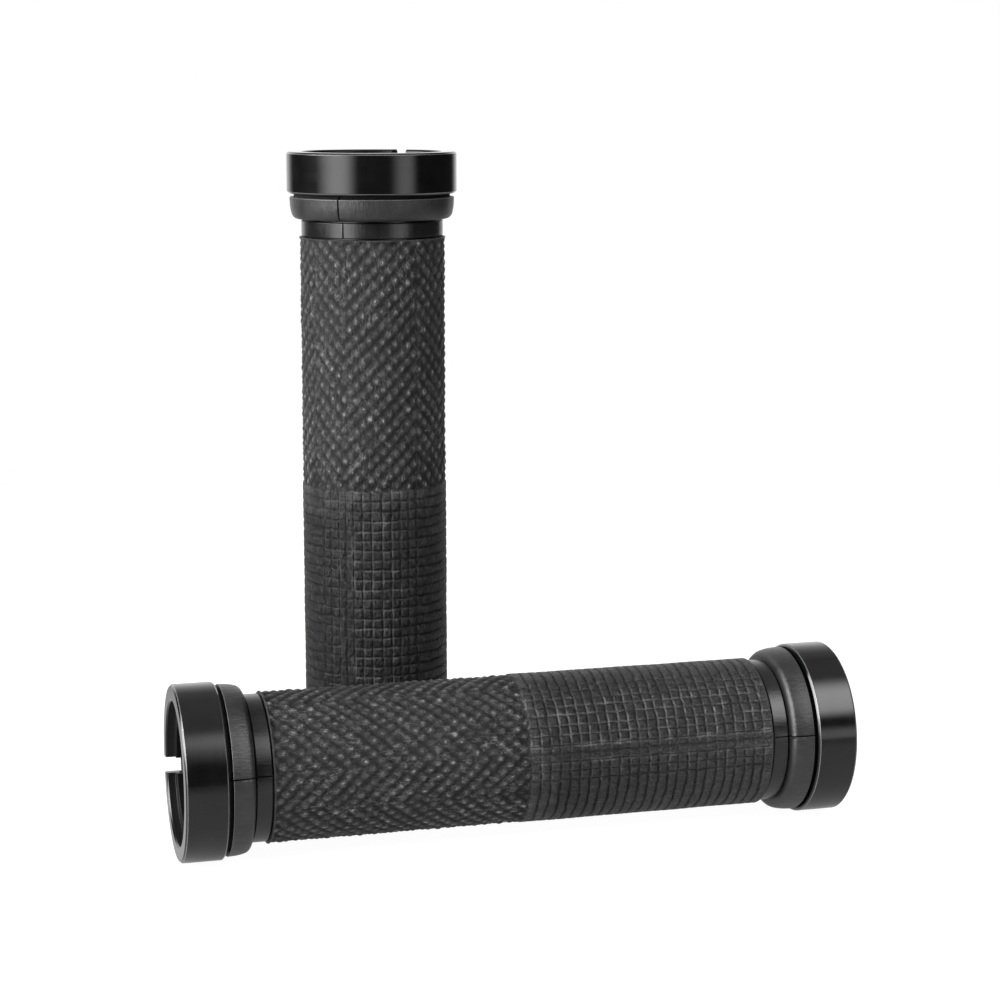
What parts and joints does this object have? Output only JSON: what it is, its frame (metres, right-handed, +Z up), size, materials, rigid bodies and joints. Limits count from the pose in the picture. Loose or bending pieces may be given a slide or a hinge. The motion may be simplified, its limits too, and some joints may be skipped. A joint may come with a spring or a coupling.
{
  "type": "bicycle handlebar grips",
  "caption": "Pair of lock-on bicycle handlebar grips with textured rubber sleeves and split clamp rings, one lying and one standing.",
  "frame": {"origin": "bottom centre of the pair's bounding box, on the surface both grips rest on", "axes": "+Z up along the standing grip, +X along the lying grip towards its grooved end, +Y from the lying grip towards the standing one"},
  "size_m": [0.13, 0.0638, 0.13],
  "materials": {
    "lock_ring": "gloss black anodised",
    "collar": "satin dark grey, moulded",
    "core": "satin dark grey, moulded",
    "rubber": "matte dark grey, moulded knurl and grooves",
    "screw": "black oxide"
  },
  "bodies": {
    "lying_grip": {"lying_core": "core", "lying_rubber_sleeve": "rubber", "lying_outer_collar": "collar", "lying_inner_collar": "collar"},
    "lying_outer_ring": {"lying_outer_lock_ring": "lock_ring"},
    "lying_outer_screw": {"lying_outer_clamp_screw": "screw"},
    "lying_inner_ring": {"lying_inner_lock_ring": "lock_ring"},
    "lying_inner_screw": {"lying_inner_clamp_screw": "screw"},
    "upright_grip": {"upright_core": "core", "upright_rubber_sleeve": "rubber", "upright_outer_collar": "collar", "upright_inner_collar": "collar"},
    "upright_outer_ring": {"upright_outer_lock_ring": "lock_ring"},
    "upright_outer_screw": {"upright_outer_clamp_screw": "screw"},
    "upright_inner_ring": {"upright_inner_lock_ring": "lock_ring"},
    "upright_inner_screw": {"upright_inner_clamp_screw": "screw"}
  },
  "joints": [
    {"name": "upright_grip_lift", "type": "slide", "parent": "lying_grip", "child": "upright_grip", "axis": [0, 0, 1], "range_m": [0, 0.15]},
    {"name": "lying_outer_ring_slide", "type": "slide", "parent": "lying_grip", "child": "lying_outer_ring", "axis": [-1, 0, 0], "range_m": [0, 0.015]},
    {"name": "lying_outer_screw_turn", "type": "hinge", "parent": "lying_outer_ring", "child": "lying_outer_screw", "pos_m": [-0.061, -0.00189, 0.01435], "axis": [0, 0.165, 0.9863], "range_deg": [0, 1080]},
    {"name": "lying_inner_ring_slide", "type": "slide", "parent": "lying_grip", "child": "lying_inner_ring", "axis": [1, 0, 0], "range_m": [0, 0.015]},
    {"name": "lying_inner_screw_turn", "type": "hinge", "parent": "lying_inner_ring", "child": "lying_inner_screw", "pos_m": [0.061, -0.00189, 0.01435], "axis": [0, -0.165, -0.9863], "range_deg": [0, 1080]},
    {"name": "upright_outer_ring_slide", "type": "slide", "parent": "upright_grip", "child": "upright_outer_ring", "axis": [0, 0, 1], "range_m": [0, 0.015]},
    {"name": "upright_outer_screw_turn", "type": "hinge", "parent": "upright_outer_ring", "child": "upright_outer_screw", "pos_m": [-0.01206, 0.02634, 0.126], "axis": [0.8121, -0.5835, 0], "range_deg": [0, 1080]},
    {"name": "upright_inner_ring_slide", "type": "slide", "parent": "upright_grip", "child": "upright_inner_ring", "axis": [0, 0, -1], "range_m": [0, 0.015]},
    {"name": "upright_inner_screw_turn", "type": "hinge", "parent": "upright_inner_ring", "child": "upright_inner_screw", "pos_m": [-0.01206, 0.02634, 0.004], "axis": [-0.8121, 0.5835, 0], "range_deg": [0, 1080]}
  ]
}
